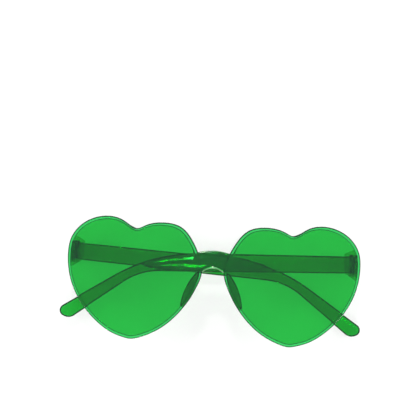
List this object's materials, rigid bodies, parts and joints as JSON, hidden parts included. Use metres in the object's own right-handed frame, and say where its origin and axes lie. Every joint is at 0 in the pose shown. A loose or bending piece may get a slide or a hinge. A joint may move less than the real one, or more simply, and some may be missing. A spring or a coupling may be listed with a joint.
{
  "type": "heart shaped sunglasses",
  "caption": "Rimless sunglasses in clear green plastic with heart shaped lenses, a moulded bridge and nose pads, and flat temples folded behind the front on screwed hinges.",
  "frame": {"origin": "middle of the folded glasses' plan, on the table under the outer temple", "axes": "+X to the right with the lenses towards the viewer, +Y to the brow, +Z out of the lenses' front, which lies upwards"},
  "size_m": [0.1496, 0.0614, 0.0226],
  "materials": {
    "front_plastic": "polished transparent green polycarbonate",
    "temple_plastic": "polished transparent green polycarbonate",
    "screw_steel": "plain machined steel"
  },
  "bodies": {
    "front": {"bridge": "front_plastic", "heart_lens_left": "front_plastic", "heart_lens_right": "front_plastic", "nose_pad_left": "front_plastic", "nose_pad_right": "front_plastic", "endpiece_left": "front_plastic", "endpiece_right": "front_plastic", "hinge_screw_left": "screw_steel", "hinge_screw_right": "screw_steel"},
    "temple_left_arm": {"temple_left": "temple_plastic"},
    "temple_right_arm": {"temple_right": "temple_plastic"}
  },
  "joints": [
    {"name": "temple_left_fold", "type": "hinge", "parent": "front", "child": "temple_left_arm", "pos_m": [-0.06911, 0.0131, 0.00335], "axis": [0, 1, 0], "range_deg": [0, 88.6]},
    {"name": "temple_right_fold", "type": "hinge", "parent": "front", "child": "temple_right_arm", "pos_m": [0.06995, 0.0131, 0.00669], "axis": [0, -1, 0], "range_deg": [0, 91.4]}
  ]
}
